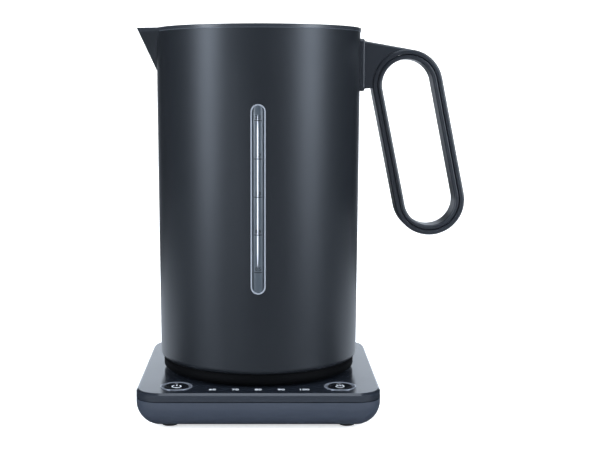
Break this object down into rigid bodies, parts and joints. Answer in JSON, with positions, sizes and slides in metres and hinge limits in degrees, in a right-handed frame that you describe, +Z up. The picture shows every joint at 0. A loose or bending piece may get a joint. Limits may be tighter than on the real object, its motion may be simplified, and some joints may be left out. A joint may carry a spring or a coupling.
{
  "type": "electric kettle",
  "caption": "Cordless electric kettle: tapered round body with beak spout, water gauge and open loop handle on a square base with push buttons.",
  "frame": {"origin": "centre of the square base, on the floor plane under its feet", "axes": "+Z up along the kettle's axis, +X towards the handle, -Y towards the controls and the water gauge"},
  "size_m": [0.2374, 0.168, 0.2757],
  "materials": {
    "body_paint": "matt slate paint",
    "base_paint": "satin slate",
    "black_plastic": "matt",
    "handle_plastic": "satin slate",
    "button_dark": "satin black",
    "stainless": "brushed",
    "zinc_steel": "zinc plated",
    "cast_aluminium": "cast",
    "contact_brass": "satin",
    "circuit_board": "solder mask",
    "component_blue": "gloss",
    "component_yellow": "gloss",
    "control_cream": "matt",
    "silicone": "matt",
    "foot_rubber": "matt",
    "window_clear": "clear",
    "window_trim": "satin",
    "print_white": "printed white",
    "print_dark": "printed black",
    "led_white": "translucent"
  },
  "bodies": {
    "base": {"base_cover": "base_paint", "base_shell": "base_paint", "base_screws": "zinc_steel", "cord_gland": "black_plastic", "power_bezel": "button_dark", "hold_bezel": "button_dark", "control_board": "circuit_board", "tact_switches": "black_plastic", "indicator_leds": "led_white", "power_board": "circuit_board", "relay": "component_blue", "capacitor": "component_yellow", "buzzer": "black_plastic", "connector_housing": "black_plastic", "contact_ring_inner": "contact_brass", "contact_ring_outer": "contact_brass", "contact_centre": "contact_brass", "led_lens_1": "led_white", "led_lens_2": "led_white", "led_lens_3": "led_white", "led_lens_4": "led_white", "led_lens_5": "led_white", "foot_1": "foot_rubber", "foot_2": "foot_rubber", "foot_3": "foot_rubber", "foot_4": "foot_rubber"},
    "connector_collar": {"connector_collar": "black_plastic"},
    "kettle": {"body_shell": "body_paint", "spout": "body_paint", "top_collar": "black_plastic", "filter_frame": "black_plastic", "filter_mesh": "stainless", "under_cover": "black_plastic", "under_screws": "zinc_steel", "heater_plate": "stainless", "heat_spreader": "cast_aluminium", "heating_element": "cast_aluminium", "thermal_control": "control_cream", "temperature_sensor": "stainless", "connector_socket": "black_plastic", "socket_contacts": "contact_brass", "window_frame": "window_trim", "window_lens": "window_clear", "window_gasket": "silicone", "handle_frame": "handle_plastic", "handle_grip": "handle_plastic", "handle_bracket": "handle_plastic", "handle_saddle": "handle_plastic", "handle_screws": "zinc_steel", "hinge_pin": "stainless"},
    "lid": {"lid_body": "black_plastic", "lid_cover": "body_paint", "lid_seal": "silicone", "lid_screws": "zinc_steel", "lid_button_spring": "stainless"},
    "lid_button": {"lid_button": "button_dark"},
    "lid_catch": {"lid_catch": "black_plastic"},
    "power_button": {"power_button": "button_dark"},
    "hold_button": {"hold_button": "button_dark"}
  },
  "joints": [
    {"name": "collar_turn", "type": "hinge", "parent": "base", "child": "connector_collar", "pos_m": [0, 0, 0.0275], "axis": [0, 0, 1], "continuous": true},
    {"name": "kettle_lift", "type": "slide", "parent": "connector_collar", "child": "kettle", "axis": [0, 0, 1], "range_m": [0, 0.1]},
    {"name": "lid_hinge", "type": "hinge", "parent": "kettle", "child": "lid", "pos_m": [0.0606, 0, 0.27], "axis": [0, 1, 0], "range_deg": [0, 78]},
    {"name": "lid_button_press", "type": "slide", "parent": "lid", "child": "lid_button", "axis": [0, 0, -1], "range_m": [0, 0.0025], "stiffness_N_per_m": 600, "springref_m": -0.002, "deforming": ["lid_button_spring"]},
    {"name": "lid_catch_slide", "type": "slide", "parent": "lid", "child": "lid_catch", "axis": [1, 0, 0], "range_m": [0, 0.0025]},
    {"name": "power_press", "type": "slide", "parent": "base", "child": "power_button", "axis": [0, 0, -1], "range_m": [0, 0.0008], "stiffness_N_per_m": 2000, "springref_m": -0.0004},
    {"name": "hold_press", "type": "slide", "parent": "base", "child": "hold_button", "axis": [0, 0, -1], "range_m": [0, 0.0008], "stiffness_N_per_m": 2000, "springref_m": -0.0004}
  ],
  "couplings": [
    {"joint": "lid_catch_slide", "follows": "lid_button_press", "ratio": 1}
  ]
}
